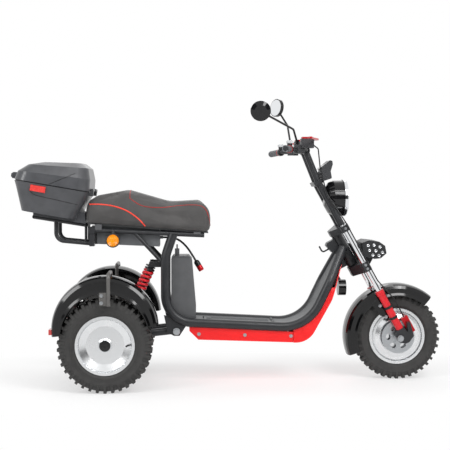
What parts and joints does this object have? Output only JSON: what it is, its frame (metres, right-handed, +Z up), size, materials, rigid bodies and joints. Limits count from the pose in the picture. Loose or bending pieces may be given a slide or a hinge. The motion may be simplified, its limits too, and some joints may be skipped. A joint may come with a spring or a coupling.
{
  "type": "electric trike",
  "caption": "Light electric trike with a step-through frame, knobby tyres, a long padded seat, rear fenders, a rack with a hinged top case, and raked steering with levers, mirrors and lamps.",
  "frame": {"origin": "on the ground, under the middle of the trike's box", "axes": "+X forward, +Y to the rider's left, +Z up"},
  "size_m": [2.0702, 0.75, 1.3913],
  "materials": {
    "frame_paint": "satin",
    "motor_paint": "satin",
    "stay_paint": "satin",
    "red_paint": "gloss",
    "fender_gloss": "gloss",
    "shell_gloss": "gloss",
    "deck_plastic": "textured",
    "box_plastic": "satin",
    "case_plastic": "fine grain",
    "pack_casing": "matt",
    "controller_metal": "cast",
    "seat_vinyl": "textured vinyl",
    "amber_lens": "gloss",
    "red_reflector": "prismatic",
    "tyre": "matt",
    "rim_alloy": "polished",
    "steel": "brushed",
    "chrome": "mirror polish",
    "grip_rubber": "matt",
    "cord_rubber": "satin",
    "red_anodised": "anodised gloss",
    "mirror": "mirror",
    "clear_lens": "clear",
    "lamp_metal": "cast satin"
  },
  "bodies": {
    "chassis": {"axle_beam": "frame_paint", "bag_hook": "frame_paint", "battery_box": "box_plastic", "battery_lead": "cord_rubber", "battery_pack": "pack_casing", "belly_pan": "red_paint", "case_base": "case_plastic", "controller_box": "controller_metal", "deck_board": "deck_plastic", "drive_motor": "motor_paint", "fender_stay_left": "stay_paint", "fender_stay_right": "stay_paint", "front_panel": "red_paint", "horn": "fender_gloss", "lead_connector": "box_plastic", "main_frame": "frame_paint", "rack": "frame_paint", "rear_fender_left": "fender_gloss", "rear_fender_right": "fender_gloss", "rear_shock_left": "red_paint", "rear_shock_right": "red_paint", "reflectors": "red_reflector", "seat": "seat_vinyl", "seat_frame": "frame_paint", "seat_pan": "box_plastic", "signal_housings": "box_plastic", "signal_lenses": "amber_lens"},
    "steering": {"fork_clamps": "frame_paint", "fork_tubes": "chrome", "fork_legs": "red_paint", "axle_lugs": "frame_paint", "front_axle": "steel", "handlebar": "frame_paint", "risers": "frame_paint", "grips": "grip_rubber", "brake_cylinders": "box_plastic", "brake_levers": "red_anodised", "mirrors": "box_plastic", "mirror_glass": "mirror", "headlight_shell": "shell_gloss", "headlight_lens": "clear_lens", "instrument": "box_plastic", "light_bar": "lamp_metal", "light_bar_lens": "clear_lens", "caliper": "red_anodised", "brake_hose": "cord_rubber", "front_fender": "fender_gloss"},
    "front_wheel": {"front_tyre": "tyre", "front_rim": "rim_alloy", "brake_disc": "steel"},
    "rear_wheel_right": {"rear_tyre_right": "tyre", "rear_rim_right": "rim_alloy"},
    "rear_wheel_left": {"rear_tyre_left": "tyre", "rear_rim_left": "rim_alloy"},
    "case_lid": {"case_lid": "case_plastic"},
    "deck_lid": {"deck_lid": "deck_plastic"}
  },
  "joints": [
    {"name": "steering_turn", "type": "hinge", "parent": "chassis", "child": "steering", "pos_m": [0.81035, 0, 0.20027], "axis": [-0.4848, 0, 0.8746], "range_deg": [-40, 40]},
    {"name": "front_wheel_spin", "type": "hinge", "parent": "steering", "child": "front_wheel", "pos_m": [0.82609, 0, 0.209], "axis": [0, 1, 0], "continuous": true},
    {"name": "rear_wheel_right_spin", "type": "hinge", "parent": "chassis", "child": "rear_wheel_right", "pos_m": [-0.56991, -0.285, 0.216], "axis": [0, 1, 0], "continuous": true},
    {"name": "rear_wheel_left_spin", "type": "hinge", "parent": "chassis", "child": "rear_wheel_left", "pos_m": [-0.56991, 0.285, 0.216], "axis": [0, 1, 0], "continuous": true},
    {"name": "case_lid_hinge", "type": "hinge", "parent": "chassis", "child": "case_lid", "pos_m": [-0.64295, 0, 0.91919], "axis": [0, 1, 0], "range_deg": [0, 75]},
    {"name": "deck_lid_hinge", "type": "hinge", "parent": "chassis", "child": "deck_lid", "pos_m": [0.21926, 0, 0.28423], "axis": [0, 1, 0], "range_deg": [0, 75]}
  ]
}
